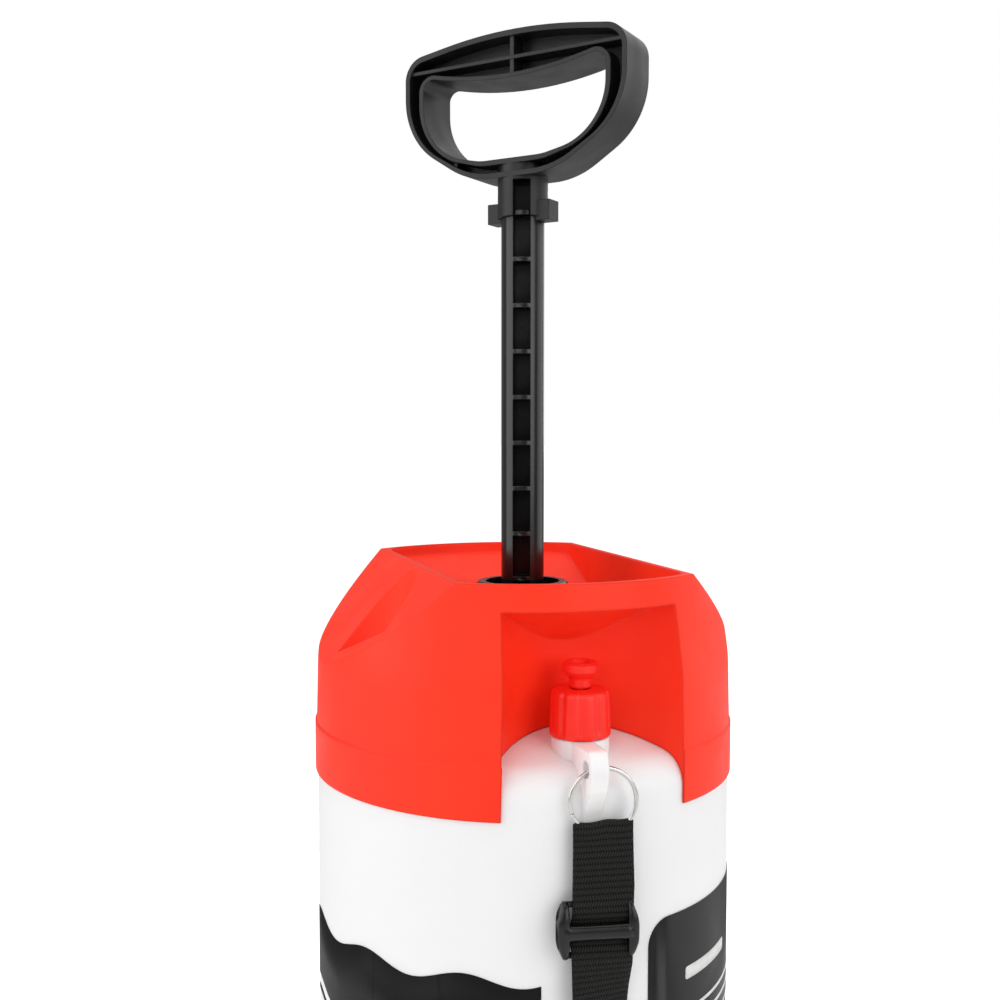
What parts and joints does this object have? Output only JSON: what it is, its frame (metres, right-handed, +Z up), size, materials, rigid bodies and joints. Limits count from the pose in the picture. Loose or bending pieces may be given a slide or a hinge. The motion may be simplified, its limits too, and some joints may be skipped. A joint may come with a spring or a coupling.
{
  "type": "pump-up compression sprayer",
  "caption": "Upright pressure sprayer: white cylindrical tank, funnel collar with front notch, piston pump with D handle drawn up, relief valve and webbing strap.",
  "frame": {"origin": "centre of the base foot on the surface that the sprayer stands on", "axes": "+Z up along the tank and pump, -Y towards the front with the relief valve, the notch and the strap"},
  "size_m": [0.1952, 0.3284, 0.6818],
  "materials": {
    "tank_white": "translucent white blow-moulded polyethylene",
    "red_plastic": "satin orange-red moulded plastic",
    "valve_red": "satin red moulded plastic",
    "white_plastic": "moulded",
    "clear_tube": "clear flexible tube",
    "black_plastic": "satin black moulded plastic",
    "black_gloss": "glossy black moulded plastic",
    "rubber": "moulded",
    "steel": "drawn wire",
    "chrome": "nickel plated",
    "webbing": "woven polypropylene webbing",
    "label_film": "printed film"
  },
  "bodies": {
    "tank": {"tank": "tank_white", "neck_ring": "tank_white", "base_foot": "red_plastic", "funnel_collar": "red_plastic", "collar_nut": "black_plastic", "label": "label_film", "valve_cap": "valve_red", "valve_seat": "white_plastic", "relief_spring": "steel", "hose_outlet": "black_plastic", "outlet_gasket": "rubber", "outlet_nut": "black_plastic", "dip_tube": "clear_tube", "dip_filter": "white_plastic", "strap_run": "webbing"},
    "relief_pull": {"relief_knob": "valve_red", "relief_stem": "steel", "relief_seal": "rubber"},
    "pump_barrel": {"pump_cap": "black_plastic", "cap_gasket": "rubber", "rod_guide": "white_plastic", "stop_washer": "rubber", "pump_barrel": "white_plastic", "foot_valve_body": "black_plastic", "foot_valve_disc": "rubber"},
    "piston": {"piston_body": "white_plastic", "piston_cup": "rubber"},
    "pump_handle": {"pump_rod": "black_gloss", "piston_nut": "black_plastic", "handle": "black_plastic", "handle_pin": "steel"},
    "strap_link": {"upper_ring": "chrome", "strap_loop": "webbing", "slider": "black_plastic"}
  },
  "joints": [
    {"name": "relief_pull", "type": "slide", "parent": "tank", "child": "relief_pull", "axis": [0, 0, 1], "range_m": [0, 0.004], "stiffness_N_per_m": 900, "springref_m": -0.001, "deforming": ["relief_spring"]},
    {"name": "pump_unscrew_lift", "type": "slide", "parent": "tank", "child": "pump_barrel", "axis": [0, 0, 1], "range_m": [0, 0.245]},
    {"name": "pump_stroke", "type": "slide", "parent": "pump_barrel", "child": "piston", "axis": [0, 0, 1], "range_m": [-0.172, 0]},
    {"name": "handle_turn", "type": "hinge", "parent": "piston", "child": "pump_handle", "pos_m": [0, 0, 0.5], "axis": [0, 0, 1], "continuous": true},
    {"name": "strap_swing", "type": "hinge", "parent": "tank", "child": "strap_link", "pos_m": [0, -0.0984, 0.3714], "axis": [-1, 0, 0], "range_deg": [0, 28]}
  ]
}
